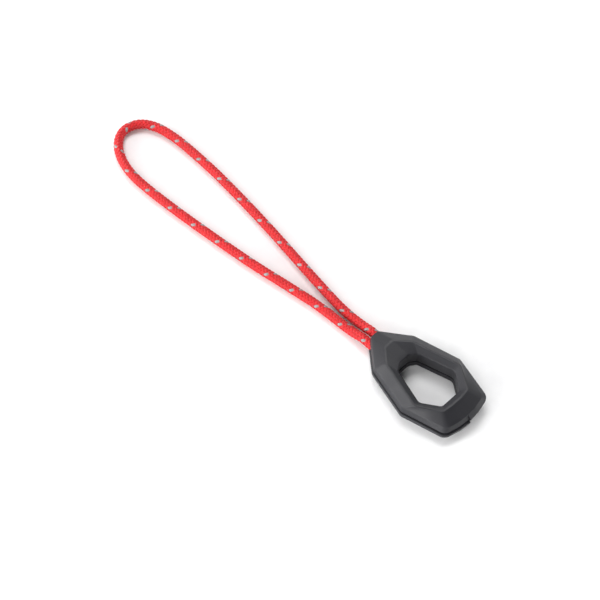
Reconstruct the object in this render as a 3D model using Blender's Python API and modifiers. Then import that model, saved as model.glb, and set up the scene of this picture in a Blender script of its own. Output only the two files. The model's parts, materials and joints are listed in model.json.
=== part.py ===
"""Zip pull: a moulded two-shell grip ring that holds the ends of a loop of braided cord.

The grip lies flat on XY with its nose towards +X.  Both cord ends run into the nose, where a
fused stopper sits in a pocket between the shells.  The loop lies on the same surface as the grip.
Driving sizes are in millimetres and are turned into metres where meshes are made.
"""
import math

import bmesh
import bpy
from mathutils import Matrix, Vector

MM = 0.001
OBJECT_NAME = "zip_pull"

# Heights above the surface that the grip lies on.
GRIP_HEIGHT = 5.1
PART_LINE_Z = 2.3
SHELL_GAP = 0.3
UPPER_FLOOR_Z = PART_LINE_Z + SHELL_GAP / 2
LOWER_TOP_Z = PART_LINE_Z - SHELL_GAP / 2
THROAT_EDGE_DROP = 0.7
LOWER_THROAT_EDGE_Z = 0.25
LOWER_THROAT_DRAFT = 0.2
CREASE_Z = 3.7
NOSE_CREASE_Z = 4.15
LIP_HEIGHT = 0.4
LOWER_EDGE_Z = 1.4
NOSE_LOWER_EDGE_Z = 0.1

# The upper shell's collar lines the throat and drops into a rebate in the lower shell.
COLLAR_BOTTOM_Z = 1.65
REBATE_FLOOR_Z = COLLAR_BOTTOM_Z - SHELL_GAP
COLLAR_WIDTH = 0.5
REBATE_WIDTH = 0.95

# Widths of the narrow land along the top ridge, and of the land that the grip rests on.
RIDGE_HALF_WIDTH = 0.2
FOOT_INNER_WIDTH = 0.3
FOOT_OUTER_WIDTH = 0.9

# Half outlines seen from above: (x, y, corner radius) at the nose, the shoulder, the flank (the
# widest point), the tail, the end and the seam on the centre line.
THROAT_OUTLINE = (
    (4.45, 1.20, 0.8), (3.50, 2.62, 0.9), (-3.96, 4.78, 1.4),
    (-7.50, 2.34, 0.9), (-7.50, 0.90, 0.0), (-7.50, 0.15, 0.0),
)
RIDGE_OUTLINE = (
    (8.50, 1.00, 0.6), (5.70, 3.50, 1.2), (-4.10, 6.10, 1.2),
    (-8.60, 3.30, 1.0), (-8.85, 1.20, 0.0), (-8.85, 0.15, 0.0),
)
CREASE_OUTLINE = (
    (12.30, 0.90, 0.8), (7.00, 5.15, 2.0), (-2.25, 7.48, 1.2),
    (-11.10, 4.90, 1.6), (-11.70, 2.20, 0.0), (-11.85, 0.15, 0.0),
)
RIM_OUTLINE = (
    (12.55, 1.00, 0.9), (7.30, 5.35, 2.0), (-2.35, 7.80, 1.2),
    (-11.40, 5.50, 1.7), (-12.15, 2.30, 0.0), (-12.30, 0.15, 0.0),
)
LIP_OUTLINE = (
    (12.65, 1.10, 0.9), (7.35, 5.60, 2.0), (-2.40, 8.10, 1.2),
    (-11.60, 5.80, 1.8), (-12.45, 2.40, 0.0), (-12.65, 0.15, 0.0),
)
ARC_POINTS = (4, 4, 4, 5, 1, 1)

# Cord, its slot through the nose, and the stopper in its pocket.
CORD_DIAMETER = 2.0
CORD_SPACING = 2.2
CORD_GAP = 0.3
CORD_EXIT_Z = 1.7
CORD_REST_Z = 1.02
CORD_POINT_SPACING = 4.0
NOSE_TIP_X = 12.65
LOOP_PIVOT_X = 14.05
SLOT_WIDTH = 4.8
SLOT_HEIGHT = 2.6
SLOT_END_X = 15.0
POCKET_X = (5.7, 8.0)
POCKET_WIDTH = 6.4
POCKET_HEIGHT = 2.76
STOPPER_GAP = 0.3
STOPPER_ROUNDING = 0.5

# Pegs moulded under the upper shell, and their sockets in the lower one.
PEG_PLACES = ((4.6, 4.5), (-9.95, 2.6))
PEG_DIAMETER = 1.4
PEG_REACH = 0.9
PEG_ROOT = 0.5
SOCKET_DIAMETER = 2.0
SOCKET_DEPTH = 1.2

# Centre line of the loop from the right side of the mouth, round the far bend, to the left side.
LOOP_ROUTE = (
    (LOOP_PIVOT_X, -1.10, CORD_EXIT_Z), (15.5, -1.06, 1.38), (17.3, -1.02, 1.12),
    (19.5, -0.98, CORD_REST_Z), (22.0, -1.04, CORD_REST_Z), (25.0, -1.32, CORD_REST_Z),
    (31.0, -2.05, CORD_REST_Z), (38.0, -3.00, CORD_REST_Z), (46.0, -4.05, CORD_REST_Z),
    (54.0, -4.90, CORD_REST_Z), (62.0, -5.55, CORD_REST_Z), (69.0, -5.75, CORD_REST_Z),
    (74.0, -5.60, CORD_REST_Z), (78.3, -4.80, CORD_REST_Z), (81.1, -3.10, CORD_REST_Z),
    (82.3, -0.55, CORD_REST_Z), (81.8, 2.00, CORD_REST_Z), (79.6, 4.30, CORD_REST_Z),
    (76.0, 5.95, CORD_REST_Z), (71.5, 6.65, CORD_REST_Z), (65.0, 6.50, CORD_REST_Z),
    (57.0, 5.90, CORD_REST_Z), (49.0, 5.10, CORD_REST_Z), (41.0, 4.15, CORD_REST_Z),
    (34.0, 3.05, CORD_REST_Z), (28.0, 2.12, CORD_REST_Z), (25.0, 1.77, CORD_REST_Z),
    (22.5, 1.58, CORD_REST_Z), (19.5, 1.45, CORD_REST_Z), (17.3, 1.33, 1.12),
    (15.5, 1.22, 1.38), (LOOP_PIVOT_X, 1.12, CORD_EXIT_Z),
)
BEND_START_X = 70.0

SHELL_COLOUR = (0.058, 0.058, 0.066, 1.0)
CORD_COLOUR = (0.83, 0.031, 0.040, 1.0)
STOPPER_COLOUR = (0.45, 0.015, 0.020, 1.0)


def clear_scene():
    for existing in list(bpy.data.objects):
        bpy.data.objects.remove(existing, do_unlink=True)


def add_collection(name):
    collection = bpy.data.collections.new(name)
    bpy.context.scene.collection.children.link(collection)
    return collection


def add_material(name, colour, roughness):
    material = bpy.data.materials.new(name)
    material.use_nodes = True
    shader = material.node_tree.nodes["Principled BSDF"]
    shader.inputs["Base Color"].default_value = colour
    shader.inputs["Roughness"].default_value = roughness
    shader.inputs["Metallic"].default_value = 0.0
    return material


def add_object(name, mesh, collection, material=None):
    placed = bpy.data.objects.new(name, mesh)
    collection.objects.link(placed)
    if material:
        mesh.materials.append(material)
    return placed


def corner_arc(previous, corner, following, radius, count):
    """Points of the arc that rounds one corner, or the corner itself when it isn't rounded."""
    if count == 1:
        return [corner]
    to_previous = (previous - corner).normalized()
    to_following = (following - corner).normalized()
    half_angle = to_previous.angle(to_following) / 2
    bisector = (to_previous + to_following).normalized()
    centre = corner + bisector * (radius / math.sin(half_angle))
    start = corner + to_previous * (radius / math.tan(half_angle)) - centre
    turn = math.pi - 2 * half_angle
    return [centre + Matrix.Rotation(turn * step / (count - 1), 2) @ start for step in range(count)]


def full_outline(half_outline):
    """Counter-clockwise points of an outline that is symmetric about X, corners rounded."""
    left = [(Vector((x, y)), radius, count) for (x, y, radius), count in zip(half_outline, ARC_POINTS)]
    right = [(Vector((corner.x, -corner.y)), radius, count) for corner, radius, count in reversed(left)]
    corners = left + right
    points = []
    for index, (corner, radius, count) in enumerate(corners):
        previous = corners[index - 1][0]
        following = corners[(index + 1) % len(corners)][0]
        points += corner_arc(previous, corner, following, radius, count)
    return points


def offset_outline(half_outline, distance):
    """The same outline moved outwards by a small distance, away from its own middle."""
    middle = Vector((-1.0, 0.0))
    moved = []
    for x, y, radius in half_outline:
        outward = (Vector((x, y)) - middle).normalized() * distance
        moved.append((x + outward.x, max(y + outward.y, 0.15), radius))
    return tuple(moved)


def heights(body_height, nose_height):
    """One height for each outline point: the nose's own at its tip, the body's elsewhere."""
    left = []
    for index, count in enumerate(ARC_POINTS):
        left += [nose_height if index == 0 else body_height] * count
    return left + left[::-1]


def level_loop(half_outline, z):
    return [Vector((point.x, point.y, z)) for point in full_outline(half_outline)]


def sloped_loop(half_outline, body_height, nose_height):
    return [
        Vector((point.x, point.y, z))
        for point, z in zip(full_outline(half_outline), heights(body_height, nose_height))
    ]


def by_side(left_loop, right_loop):
    """A loop that takes its left half (+Y) from one loop and its right half from another."""
    half = len(left_loop) // 2
    return left_loop[:half] + right_loop[half:]


def blend_loops(first, second, share):
    return [a.lerp(b, share) for a, b in zip(first, second)]


def ring_mesh(name, loops):
    """A closed ring skinned between loops that go round its cross-section."""
    mesh = bmesh.new()
    rows = [[mesh.verts.new(point * MM) for point in loop] for loop in loops]
    count = len(loops[0])
    for row, next_row in zip(rows, rows[1:] + rows[:1]):
        for index in range(count):
            after = (index + 1) % count
            mesh.faces.new((row[index], row[after], next_row[after], next_row[index]))
    bmesh.ops.recalc_face_normals(mesh, faces=mesh.faces)
    data = bpy.data.meshes.new(name)
    mesh.to_mesh(data)
    mesh.free()
    return data


def upper_shell_mesh():
    """Throat wall, ridge, sloping roof, crease, side band and collar; the lip is on the right."""
    crease = sloped_loop(CREASE_OUTLINE, CREASE_Z, NOSE_CREASE_Z)
    rim = level_loop(RIM_OUTLINE, UPPER_FLOOR_Z)
    lip = level_loop(LIP_OUTLINE, UPPER_FLOOR_Z)
    lip_top = level_loop(LIP_OUTLINE, UPPER_FLOOR_Z + LIP_HEIGHT)
    band_middle = blend_loops(crease, rim, 0.5)
    collar = offset_outline(THROAT_OUTLINE, COLLAR_WIDTH)
    return ring_mesh("upper_shell", [
        level_loop(THROAT_OUTLINE, COLLAR_BOTTOM_Z),
        level_loop(THROAT_OUTLINE, GRIP_HEIGHT - THROAT_EDGE_DROP),
        level_loop(offset_outline(RIDGE_OUTLINE, -RIDGE_HALF_WIDTH), GRIP_HEIGHT),
        level_loop(offset_outline(RIDGE_OUTLINE, RIDGE_HALF_WIDTH), GRIP_HEIGHT),
        crease,
        by_side(band_middle, lip_top),
        by_side(rim, lip),
        level_loop(collar, UPPER_FLOOR_Z),
        level_loop(collar, COLLAR_BOTTOM_Z),
    ])


def lower_shell_mesh():
    """The matching half with a flat foot and a rebate for the collar; the lip is on the left."""
    lower_edge = sloped_loop(LIP_OUTLINE, LOWER_EDGE_Z, NOSE_LOWER_EDGE_Z)
    plain_edge = sloped_loop(RIM_OUTLINE, LOWER_EDGE_Z, NOSE_LOWER_EDGE_Z)
    lip = level_loop(LIP_OUTLINE, LOWER_TOP_Z)
    rim = level_loop(RIM_OUTLINE, LOWER_TOP_Z)
    rebate = offset_outline(THROAT_OUTLINE, REBATE_WIDTH)
    return ring_mesh("lower_shell", [
        level_loop(THROAT_OUTLINE, REBATE_FLOOR_Z),
        level_loop(rebate, REBATE_FLOOR_Z),
        level_loop(rebate, LOWER_TOP_Z),
        by_side(lip, rim),
        by_side(lower_edge, plain_edge),
        level_loop(offset_outline(RIDGE_OUTLINE, FOOT_OUTER_WIDTH), 0.0),
        level_loop(offset_outline(RIDGE_OUTLINE, -FOOT_INNER_WIDTH), 0.0),
        level_loop(offset_outline(THROAT_OUTLINE, -LOWER_THROAT_DRAFT), LOWER_THROAT_EDGE_Z),
    ])


def box_mesh(name, low, high):
    mesh = bmesh.new()
    bmesh.ops.create_cube(mesh, size=1.0)
    size = Vector(high) - Vector(low)
    centre = (Vector(high) + Vector(low)) / 2
    bmesh.ops.scale(mesh, vec=size * MM, verts=mesh.verts)
    bmesh.ops.translate(mesh, vec=centre * MM, verts=mesh.verts)
    data = bpy.data.meshes.new(name)
    mesh.to_mesh(data)
    mesh.free()
    return data


def post_mesh(name, diameter, length, segments=16):
    mesh = bmesh.new()
    radius = diameter / 2 * MM
    bmesh.ops.create_cone(
        mesh, cap_ends=True, segments=segments, radius1=radius, radius2=radius, depth=length * MM)
    data = bpy.data.meshes.new(name)
    mesh.to_mesh(data)
    mesh.free()
    return data


def as_cutter(tool):
    tool.hide_render = True
    tool.display_type = "WIRE"
    return tool


def add_boolean(target, tool, operation):
    modifier = target.modifiers.new(tool.name, "BOOLEAN")
    modifier.operation = operation
    modifier.solver = "EXACT"
    modifier.object = tool


def cord_passage_tools(collection):
    """The slot that the cords leave through, and the pocket that holds the stopper."""
    slot = box_mesh(
        "cord_slot",
        (POCKET_X[1] - CORD_GAP, -SLOT_WIDTH / 2, CORD_EXIT_Z - SLOT_HEIGHT / 2),
        (SLOT_END_X, SLOT_WIDTH / 2, CORD_EXIT_Z + SLOT_HEIGHT / 2))
    pocket = box_mesh(
        "stopper_pocket",
        (POCKET_X[0], -POCKET_WIDTH / 2, CORD_EXIT_Z - POCKET_HEIGHT / 2),
        (POCKET_X[1], POCKET_WIDTH / 2, CORD_EXIT_Z + POCKET_HEIGHT / 2))
    return [as_cutter(add_object(mesh.name, mesh, collection)) for mesh in (slot, pocket)]


def peg_and_socket_tools(collection):
    peg = post_mesh("peg", PEG_DIAMETER, PEG_REACH + PEG_ROOT)
    socket = post_mesh("socket", SOCKET_DIAMETER, 2 * SOCKET_DEPTH)
    pegs = []
    sockets = []
    for x, y in PEG_PLACES:
        for side in (1, -1):
            pegs.append(as_cutter(add_object("peg", peg, collection)))
            pegs[-1].location = Vector((x, side * y, UPPER_FLOOR_Z + (PEG_ROOT - PEG_REACH) / 2)) * MM
            sockets.append(as_cutter(add_object("socket", socket, collection)))
            sockets[-1].location = Vector((x, side * y, LOWER_TOP_Z)) * MM
    return pegs, sockets


def add_shells(parts, tools, material):
    upper = add_object("upper_shell", upper_shell_mesh(), parts, material)
    lower = add_object("lower_shell", lower_shell_mesh(), parts, material)
    pegs, sockets = peg_and_socket_tools(tools)
    for passage in cord_passage_tools(tools):
        add_boolean(upper, passage, "DIFFERENCE")
        add_boolean(lower, passage, "DIFFERENCE")
    for peg in pegs:
        add_boolean(upper, peg, "UNION")
    for socket in sockets:
        add_boolean(lower, socket, "DIFFERENCE")


def add_stopper(parts, material):
    """Both cord ends melted and pressed into one block, wider than the slot in front of it."""
    half_width = POCKET_WIDTH / 2 - STOPPER_GAP
    half_height = POCKET_HEIGHT / 2 - STOPPER_GAP
    mesh = box_mesh(
        "end_stopper",
        (POCKET_X[0] + STOPPER_GAP, -half_width, CORD_EXIT_Z - half_height),
        (POCKET_X[1] - STOPPER_GAP, half_width, CORD_EXIT_Z + half_height))
    stopper = add_object("end_stopper", mesh, parts, material)
    rounding = stopper.modifiers.new("rounding", "BEVEL")
    rounding.width = STOPPER_ROUNDING * MM
    rounding.segments = 2


def smooth_points(route, spacing):
    """Evenly spaced points on a smooth curve through the route's own points."""
    knots = [Vector(point) for point in route]
    padded = [2 * knots[0] - knots[1]] + knots + [2 * knots[-1] - knots[-2]]
    dense = [knots[0]]
    for before, start, end, after in zip(padded, padded[1:], padded[2:], padded[3:]):
        for step in range(1, 17):
            t = step / 16
            dense.append(0.5 * (
                2 * start + (end - before) * t
                + (2 * before - 5 * start + 4 * end - after) * t ** 2
                + (3 * start - before - 3 * end + after) * t ** 3))
    travelled = [0.0]
    for a, b in zip(dense, dense[1:]):
        travelled.append(travelled[-1] + (b - a).length)
    count = max(2, round(travelled[-1] / spacing) + 1)
    points = []
    index = 0
    for step in range(count):
        target = travelled[-1] * step / (count - 1)
        while index < len(dense) - 2 and travelled[index + 1] < target:
            index += 1
        share = (target - travelled[index]) / (travelled[index + 1] - travelled[index])
        points.append(dense[index].lerp(dense[index + 1], share))
    return points


def add_tube(name, points, parts, material):
    curve = bpy.data.curves.new(name, "CURVE")
    curve.dimensions = "3D"
    curve.bevel_depth = CORD_DIAMETER / 2 * MM
    curve.bevel_resolution = 2
    curve.use_fill_caps = True
    spline = curve.splines.new("POLY")
    spline.points.add(len(points) - 1)
    for target, point in zip(spline.points, points):
        target.co = (*(point * MM), 1.0)
    return add_object(name, curve, parts, material)


def shorten_ends(points, start_gap, end_gap):
    """The same stretch with a little taken off either end, for the gap to the next piece."""
    trimmed = [point.copy() for point in points]
    trimmed[0] += (points[1] - points[0]).normalized() * start_gap
    trimmed[-1] += (points[-2] - points[-1]).normalized() * end_gap
    return trimmed


def add_cord(parts, material):
    """Two tails in the nose, and the loop as a right run, a bend and a left run."""
    for name, side in (("cord_tail_right", -1), ("cord_tail_left", 1)):
        y = side * CORD_SPACING / 2
        inner = Vector((POCKET_X[1], y, CORD_EXIT_Z))
        outer = Vector((NOSE_TIP_X, y, CORD_EXIT_Z))
        add_tube(name, [inner, outer], parts, material)

    loop = smooth_points(LOOP_ROUTE, CORD_POINT_SPACING)
    in_bend = [index for index, point in enumerate(loop) if point.x > BEND_START_X]
    first, last = in_bend[0], in_bend[-1]
    half_gap = CORD_GAP / 2
    stretches = (
        ("cord_run_right", shorten_ends(loop[:first + 1], 0.0, half_gap)),
        ("cord_bend", shorten_ends(loop[first:last + 1], half_gap, half_gap)),
        ("cord_run_left", shorten_ends(loop[last:], half_gap, 0.0)),
    )
    pivot = bpy.data.objects.new("loop_pivot", None)
    parts.objects.link(pivot)
    pivot.location = Vector((LOOP_PIVOT_X, 0.0, CORD_EXIT_Z)) * MM
    for name, points in stretches:
        tube = add_tube(name, points, parts, material)
        tube.parent = pivot
        tube.matrix_parent_inverse = Matrix.Translation(-pivot.location)


def main():
    clear_scene()
    parts = add_collection(OBJECT_NAME)
    tools = add_collection("cutters")
    shell = add_material("shell_black", SHELL_COLOUR, 0.55)
    cord = add_material("cord_red", CORD_COLOUR, 0.75)
    stopper = add_material("stopper_red", STOPPER_COLOUR, 0.45)
    add_shells(parts, tools, shell)
    add_stopper(parts, stopper)
    add_cord(parts, cord)


main()
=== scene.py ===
"""Looks of a zip pull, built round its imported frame.

A grip ring of two moulded shells holds the fused ends of a loop of round braided cord.
Lengths are metres in Blender; the outlines and routes below are in millimetres and are
scaled once, where their points are made.
"""

import json
import math

import bpy
import numpy as np
from bpy.props import FloatProperty, FloatVectorProperty, IntProperty, PointerProperty, StringProperty
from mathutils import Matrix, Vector


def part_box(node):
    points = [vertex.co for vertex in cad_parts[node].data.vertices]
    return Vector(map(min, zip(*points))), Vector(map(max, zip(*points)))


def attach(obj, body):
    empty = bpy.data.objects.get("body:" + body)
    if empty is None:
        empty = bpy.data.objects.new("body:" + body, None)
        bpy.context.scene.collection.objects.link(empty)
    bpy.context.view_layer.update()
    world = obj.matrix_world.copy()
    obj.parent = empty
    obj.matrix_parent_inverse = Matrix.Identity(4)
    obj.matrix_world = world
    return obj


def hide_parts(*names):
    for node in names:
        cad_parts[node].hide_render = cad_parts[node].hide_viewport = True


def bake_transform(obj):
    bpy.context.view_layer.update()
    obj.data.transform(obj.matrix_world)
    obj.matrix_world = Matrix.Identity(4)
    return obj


bl_info = {
    "name": "Zip Pull Maker",
    "version": (1, 0, 0),
    "blender": (4, 5, 0),
    "location": "View3D > Sidebar > Zip Pull",
    "description": "Builds a two-shell zip pull with a braided cord loop, and the stage it lies on",
    "category": "Add Mesh",
}

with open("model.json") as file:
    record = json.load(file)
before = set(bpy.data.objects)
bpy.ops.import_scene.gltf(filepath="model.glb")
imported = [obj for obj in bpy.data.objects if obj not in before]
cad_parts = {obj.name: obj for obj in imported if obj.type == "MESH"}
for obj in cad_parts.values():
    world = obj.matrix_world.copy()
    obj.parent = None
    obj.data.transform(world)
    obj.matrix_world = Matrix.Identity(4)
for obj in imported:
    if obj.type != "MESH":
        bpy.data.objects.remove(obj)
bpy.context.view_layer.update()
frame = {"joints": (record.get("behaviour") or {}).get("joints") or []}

MM = 0.001
LOOP_JOINT = next(joint for joint in frame["joints"] if joint["name"] == "loop_swing")
PIVOT = Vector(LOOP_JOINT["pos_m"])

# Heights of the grip in millimetres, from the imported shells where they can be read.
GRIP_TOP_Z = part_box("upper_shell")[1].z / MM
LOWER_TOP_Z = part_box("lower_shell")[1].z / MM
SHELL_GAP = 0.3
UPPER_FLOOR_Z = LOWER_TOP_Z + SHELL_GAP
THROAT_EDGE_DROP = 0.7
LOWER_THROAT_EDGE_Z = 0.25
LOWER_THROAT_DRAFT = 0.2
CREASE_Z = 3.7
NOSE_CREASE_Z = 4.15
LIP_HEIGHT = 0.4
LOWER_EDGE_Z = 1.4
NOSE_LOWER_EDGE_Z = 0.1
COLLAR_BOTTOM_Z = 1.65
REBATE_FLOOR_Z = COLLAR_BOTTOM_Z - SHELL_GAP
COLLAR_WIDTH = 0.5
REBATE_WIDTH = 0.95
GROOVE_NARROWING = 0.18
GROOVE_WIDE_X = -11.0
GROOVE_NARROW_X = -5.0
RIDGE_HALF_WIDTH = 0.2
FOOT_INNER_WIDTH = 0.3
FOOT_OUTER_WIDTH = 0.9

# Half outlines seen from above: (x, y, corner radius) at the nose, the shoulder, the flank, the
# tail, the end and the seam on the centre line.
THROAT_OUTLINE = (
    (4.45, 1.20, 0.8), (3.50, 2.62, 0.9), (-3.96, 4.78, 1.4),
    (-7.50, 2.34, 0.9), (-7.50, 0.90, 1.0), (-7.50, 0.15, 1.0),
)
RIDGE_OUTLINE = (
    (8.50, 1.00, 0.6), (5.70, 3.50, 1.2), (-4.10, 6.10, 1.2),
    (-8.60, 3.30, 1.0), (-8.85, 1.20, 4.0), (-8.85, 0.15, 1.0),
)
CREASE_OUTLINE = (
    (12.30, 0.90, 0.8), (7.00, 5.15, 2.0), (-2.25, 7.48, 1.2),
    (-11.10, 4.90, 1.6), (-11.70, 2.20, 4.0), (-11.85, 0.15, 1.0),
)
RIM_OUTLINE = (
    (12.55, 1.00, 0.9), (7.30, 5.35, 2.0), (-2.35, 7.80, 1.2),
    (-11.40, 5.50, 1.7), (-12.15, 2.30, 4.0), (-12.30, 0.15, 1.0),
)
LIP_OUTLINE = (
    (12.65, 1.10, 0.9), (7.35, 5.60, 2.0), (-2.40, 8.10, 1.2),
    (-11.60, 5.80, 1.8), (-12.45, 2.40, 4.0), (-12.65, 0.15, 1.0),
)
OUTLINE_MIDDLE = (-1.0, 0.0)
CENTRE_LINE_MARGIN = 0.15
LEAST_CORNER_REACH = 0.01
LEAST_EDGE_REACH = 0.004
ARC_POINTS = 8
EDGE_POINTS = 6
FILLET_POINTS = 6
WALL_POINTS = 3

# What the two shells hold between them.
CHANNEL_RADIUS = 1.3
MOUTH_FLARE = 0.45
MOUTH_FLARE_LENGTH = 0.9
MOUTH_FLARE_OVERRUN = 1.25
MOUTH_FLARE_RINGS = 9
NOSE_TIP_X = 12.65
POCKET_X = (5.7, 8.0)
POCKET_WIDTH = 6.4
POCKET_HEIGHT = 2.76
POCKET_CORNER = 0.35
PEG_PLACES = ((4.6, 4.5), (-9.95, 2.6))
PEG_DIAMETER = 1.4
PEG_REACH = 0.9
PEG_ROOT = 0.5
PEG_CHAMFER = 0.2
SOCKET_DIAMETER = 2.0
SOCKET_DEPTH = 1.2
SOCKET_CHAMFER = 0.2
SHARP_EDGE_ANGLE = 38.0

# The pressed bead: how square its ends stay, how lumpy it is, and the waist between the cord ends.
STOPPER_SQUARENESS = 5.0
STOPPER_LUMPS = 0.03
STOPPER_WAIST = 0.10
STOPPER_WAIST_WIDTH = 0.28
STOPPER_LEVELS = 5

# The cord's centre line: out of the stopper, through the nose, round the loop and back.
CORD_EXIT_Z = PIVOT.z / MM
CORD_REST_Z = 1.02
CORD_SPACING = 2.2
LOOP_ROUTE = (
    (14.05, -1.10, CORD_EXIT_Z), (15.5, -1.06, 1.38), (17.3, -1.02, 1.12),
    (19.5, -0.98, CORD_REST_Z), (22.0, -1.04, CORD_REST_Z), (25.0, -1.32, CORD_REST_Z),
    (31.0, -2.05, CORD_REST_Z), (38.0, -3.00, CORD_REST_Z), (46.0, -4.05, CORD_REST_Z),
    (54.0, -4.90, CORD_REST_Z), (62.0, -5.55, CORD_REST_Z), (69.0, -5.75, CORD_REST_Z),
    (74.0, -5.60, CORD_REST_Z), (78.3, -4.80, CORD_REST_Z), (81.1, -3.10, CORD_REST_Z),
    (82.3, -0.55, CORD_REST_Z), (81.8, 2.00, CORD_REST_Z), (79.6, 4.30, CORD_REST_Z),
    (76.0, 5.95, CORD_REST_Z), (71.5, 6.65, CORD_REST_Z), (65.0, 6.50, CORD_REST_Z),
    (57.0, 5.90, CORD_REST_Z), (49.0, 5.10, CORD_REST_Z), (41.0, 4.15, CORD_REST_Z),
    (34.0, 3.05, CORD_REST_Z), (28.0, 2.12, CORD_REST_Z), (25.0, 1.77, CORD_REST_Z),
    (22.5, 1.58, CORD_REST_Z), (19.5, 1.45, CORD_REST_Z), (17.3, 1.33, 1.12),
    (15.5, 1.22, 1.38), (14.05, 1.12, CORD_EXIT_Z),
)
TAIL_START_X = 7.3
TAIL_KNOT_STEP = 2.2
PATH_STEP = 0.4
STEPS_PER_KNOT = 24


class ShellSettings(bpy.types.PropertyGroup):
    """Edge radii and finish of the two moulded shells."""

    throat_radius: FloatProperty(
        name="Throat Edge", description="Radius of the edges round the window",
        default=0.00028, unit="LENGTH")
    ridge_radius: FloatProperty(
        name="Ridge", description="Radius of the crest that runs round the grip",
        default=0.0003, unit="LENGTH")
    crease_radius: FloatProperty(
        name="Crease", description="Radius of the crease between the roof and the side band",
        default=0.0003, unit="LENGTH")
    parting_radius: FloatProperty(
        name="Parting Edge", description="Radius of the edges along the parting groove",
        default=0.0001, unit="LENGTH")
    belly_radius: FloatProperty(
        name="Belly Edge", description="Radius of the lower shell's outer edges",
        default=0.0005, unit="LENGTH")
    colour: StringProperty(
        name="Colour", description="sRGB hex of the charcoal plastic", default="1E1E23")
    roughness: FloatProperty(
        name="Roughness", description="Roughness of the soft moulded finish",
        default=0.5, min=0.0, max=1.0)
    grain_size: FloatProperty(
        name="Grain", description="Size of the spark-eroded grain", default=0.00016, unit="LENGTH")


class CordSettings(bpy.types.PropertyGroup):
    """Construction of the round braid and its colours."""

    diameter: FloatProperty(
        name="Diameter", description="Outer diameter of the cord", default=0.002, unit="LENGTH")
    yarns_each_way: IntProperty(
        name="Yarns Each Way", description="Carriers that run each way round the braid",
        default=8, min=4, max=16)
    lay: FloatProperty(
        name="Lay", description="Length of one full turn of a yarn where the cord starts",
        default=0.00665, unit="LENGTH", precision=5)
    end_lay: FloatProperty(
        name="End Lay", description="Length of one full turn where the cord ends, tighter braided",
        default=0.00596, unit="LENGTH", precision=5)
    start_turns: FloatProperty(
        name="Start", description="Part of a yarn's turn that is already made where the cord starts",
        default=0.222)
    yarn_width: FloatProperty(
        name="Yarn Width", description="Width of one flat yarn", default=0.00058, unit="LENGTH")
    yarn_thickness: FloatProperty(
        name="Yarn Thickness", description="Thickness of one flat yarn",
        default=0.00028, unit="LENGTH")
    weave_depth: FloatProperty(
        name="Weave Depth", description="How far a yarn rises and dips as it interlaces",
        default=0.00012, unit="LENGTH")
    steps_per_crossing: FloatProperty(
        name="Steps Per Crossing", description="Points of a yarn between two crossings",
        default=2.0, min=1.0, max=6.0)
    tracer: IntProperty(
        name="Tracer", description="Index of the reflective yarn", default=8, min=0, max=31)
    turn: FloatProperty(
        name="Turn", description="Turns by which the braid is rolled round its axis",
        default=-0.03125, precision=5)
    colour: StringProperty(
        name="Colour", description="sRGB hex of the dyed polyester", default="D6121A")
    tracer_colour: StringProperty(
        name="Tracer Colour", description="sRGB hex of the reflective yarn", default="A39E9E")


class StageSettings(bpy.types.PropertyGroup):
    """Camera, floor and studio light."""

    aim: FloatVectorProperty(
        name="Aim", description="Point that the camera looks at",
        default=(0.029275, 0.002897, 0.0), subtype="XYZ", unit="LENGTH", precision=5)
    distance: FloatProperty(
        name="Distance", description="From the camera to its aim", default=0.42435, unit="LENGTH")
    azimuth: FloatProperty(
        name="Azimuth", description="Direction of the camera round the grip, from -Y towards +X",
        default=math.radians(225.51), subtype="ANGLE")
    elevation: FloatProperty(
        name="Elevation", description="Height of the camera above the horizon",
        default=math.radians(58.0), subtype="ANGLE")
    lens: FloatProperty(
        name="Lens", description="Focal length on a 36 mm sensor, in millimetres", default=132.5)
    floor_colour: StringProperty(
        name="Floor", description="sRGB hex of the pale floor", default="F4F4F5")


# ---------------------------------------------------------------- helpers


def linear(hex_colour):
    """An sRGB hex colour as linear RGBA."""
    channels = [int(hex_colour[i:i + 2], 16) / 255 for i in (0, 2, 4)]
    return (*(c / 12.92 if c <= 0.04045 else ((c + 0.055) / 1.055) ** 2.4 for c in channels), 1.0)


def add_node(tree, kind, settings=None, inputs=None):
    """One node with its settings; each input is a value or the output socket that feeds it."""
    node = tree.nodes.new(kind)
    for name, value in (settings or {}).items():
        setattr(node, name, value)
    for name, value in (inputs or {}).items():
        if isinstance(value, bpy.types.NodeSocket):
            tree.links.new(value, node.inputs[name])
        else:
            node.inputs[name].default_value = value
    return node


def new_material(name):
    """An empty node material, its tree and its output node."""
    material = bpy.data.materials.new(name)
    material.use_nodes = True
    material.node_tree.nodes.clear()
    output = add_node(material.node_tree, "ShaderNodeOutputMaterial")
    return material, material.node_tree, output


def link_object(name, data):
    made = bpy.data.objects.new(name, data)
    bpy.context.scene.collection.objects.link(made)
    return made


def mesh_from_grid(name, grid, close_rows=True):
    """A mesh of quads over a grid of points in millimetres; its columns run round.

    Its rows run round too, or else the first and the last row are capped.
    """
    rows, columns = grid.shape[:2]
    index = np.arange(rows * columns).reshape(rows, columns)
    lower = index if close_rows else index[:-1]
    upper = np.roll(index, -1, axis=0) if close_rows else index[1:]
    quads = np.stack([lower, np.roll(lower, -1, axis=1), np.roll(upper, -1, axis=1), upper], axis=-1)
    faces = quads.reshape(-1, 4).tolist()
    if not close_rows:
        faces += [index[0, ::-1].tolist(), index[-1].tolist()]
    mesh = bpy.data.meshes.new(name)
    mesh.from_pydata((grid.reshape(-1, 3) * MM).tolist(), [], faces)
    mesh.update()
    return mesh


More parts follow.
